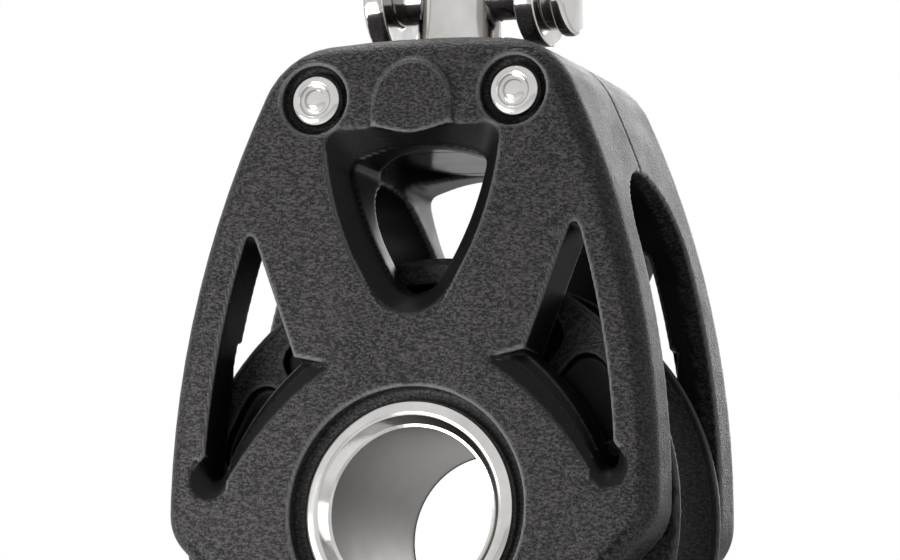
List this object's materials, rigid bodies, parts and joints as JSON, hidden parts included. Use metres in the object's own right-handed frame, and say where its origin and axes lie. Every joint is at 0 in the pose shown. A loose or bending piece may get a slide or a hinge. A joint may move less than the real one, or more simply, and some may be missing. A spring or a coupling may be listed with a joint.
{
  "type": "sailing block",
  "caption": "Single ball-bearing sailing block with a hollow core, two moulded cheeks, a swivel post and a shackle.",
  "frame": {"origin": "on the sheave's axis, midway between the two cheeks", "axes": "+Z from the sheave up to the shackle, +Y along the sheave's axis towards the rear cheek, +X across the block towards the pin's knob"},
  "size_m": [0.06, 0.0316, 0.119],
  "materials": {
    "cheek_moulding": "fine leathery grain",
    "core_moulding": "smooth and glossy",
    "sheave_moulding": "fine grain with smooth flange lips",
    "white_acetal": "smooth",
    "satin_steel": "satin stainless",
    "polished_steel": "polished stainless",
    "satin_aluminium": "satin anodised"
  },
  "bodies": {
    "shackle": {"shackle_bow": "satin_steel"},
    "cross_pin": {"shackle_pin": "satin_steel"},
    "post": {"head_post": "satin_steel"},
    "block": {"front_cheek": "cheek_moulding", "rear_cheek": "cheek_moulding", "head_core": "core_moulding", "post_foot_cover": "core_moulding", "left_rivet": "polished_steel", "right_rivet": "polished_steel", "axle_tube": "satin_aluminium", "front_axle_ring": "polished_steel", "rear_axle_ring": "polished_steel", "inner_race": "satin_aluminium", "front_side_washer": "white_acetal", "rear_side_washer": "white_acetal", "post_thrust_washer": "white_acetal"},
    "sheave_group": {"sheave": "sheave_moulding", "outer_race": "satin_aluminium", "front_ball_retainer": "core_moulding", "rear_ball_retainer": "core_moulding"},
    "front_ball_row": {"front_balls": "white_acetal"},
    "rear_ball_row": {"rear_balls": "white_acetal"}
  },
  "joints": [
    {"name": "pin_draw", "type": "slide", "parent": "shackle", "child": "cross_pin", "axis": [1, 0, 0], "range_m": [0, 0.0175]},
    {"name": "post_swing", "type": "hinge", "parent": "shackle", "child": "post", "pos_m": [0, 0, 0.062], "axis": [1, 0, 0], "range_deg": [-95, 95]},
    {"name": "block_swivel", "type": "hinge", "parent": "post", "child": "block", "pos_m": [0, 0, 0.045], "axis": [0, 0, 1], "continuous": true},
    {"name": "sheave_spin", "type": "hinge", "parent": "block", "child": "sheave_group", "pos_m": [0, 0, 0], "axis": [0, 1, 0], "continuous": true},
    {"name": "front_row_roll", "type": "hinge", "parent": "block", "child": "front_ball_row", "pos_m": [0, 0, 0], "axis": [0, 1, 0], "continuous": true},
    {"name": "rear_row_roll", "type": "hinge", "parent": "block", "child": "rear_ball_row", "pos_m": [0, 0, 0], "axis": [0, 1, 0], "continuous": true}
  ],
  "couplings": [
    {"joint": "front_row_roll", "follows": "sheave_spin", "ratio": 0.55625},
    {"joint": "rear_row_roll", "follows": "sheave_spin", "ratio": 0.55625}
  ]
}
